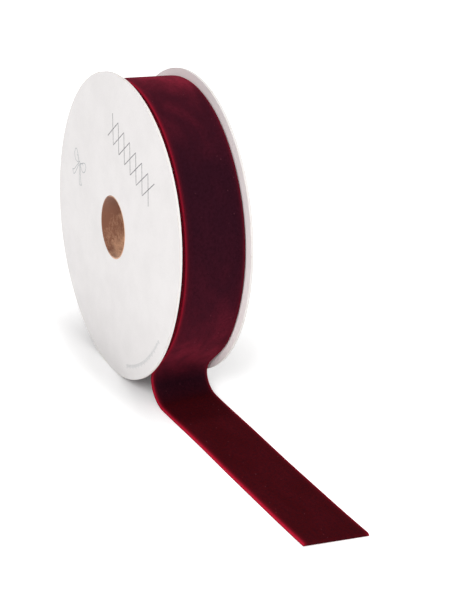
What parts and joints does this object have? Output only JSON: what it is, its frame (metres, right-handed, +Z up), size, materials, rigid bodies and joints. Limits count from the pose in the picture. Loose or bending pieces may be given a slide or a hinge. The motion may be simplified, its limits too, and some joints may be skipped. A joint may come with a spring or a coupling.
{
  "type": "ribbon spool",
  "caption": "Ribbon spool: two round card flanges on a paper tube, filled with velvet ribbon whose free end lies along the table and turns the spool when pulled.",
  "frame": {"origin": "middle of the spool's bore, on its axis", "axes": "+Y along the bore from the front flange to the back flange, +X the way the free end runs out, +Z up; the flanges stand on z = -0.0625 m"},
  "size_m": [0.2138, 0.0376, 0.125],
  "materials": {
    "cover_paper": "coated, matt",
    "liner_paper": "uncoated, matt",
    "board": "cut edge, matt",
    "kraft": "natural kraft, matt",
    "grey_ply": "recycled board, matt",
    "glue": "set hot-melt, satin",
    "tape": "masking tape, matt",
    "velvet": "cut pile velvet, wine red"
  },
  "bodies": {
    "lead": {"ribbon_lead": "velvet"},
    "spool": {"front_cover_paper": "cover_paper", "front_board": "board", "front_liner_paper": "liner_paper", "back_liner_paper": "liner_paper", "back_board": "board", "back_cover_paper": "cover_paper", "core_inner_ply": "kraft", "core_middle_ply": "grey_ply", "core_outer_ply": "kraft", "front_glue_ring": "glue", "back_glue_ring": "glue", "start_tape": "tape", "wound_ribbon": "velvet"},
    "free_end": {"ribbon_free_end": "velvet"}
  },
  "joints": [
    {"name": "spool_spin", "type": "hinge", "parent": "lead", "child": "spool", "pos_m": [0, 0, 0], "axis": [0, 1, 0], "range_deg": [0, 90]},
    {"name": "ribbon_pull", "type": "slide", "parent": "lead", "child": "free_end", "axis": [0.9979, 0.0645, 0], "range_m": [0, 0.0935]}
  ],
  "couplings": [
    {"joint": "ribbon_pull", "follows": "spool_spin", "m_per_rad": 0.0591}
  ]
}
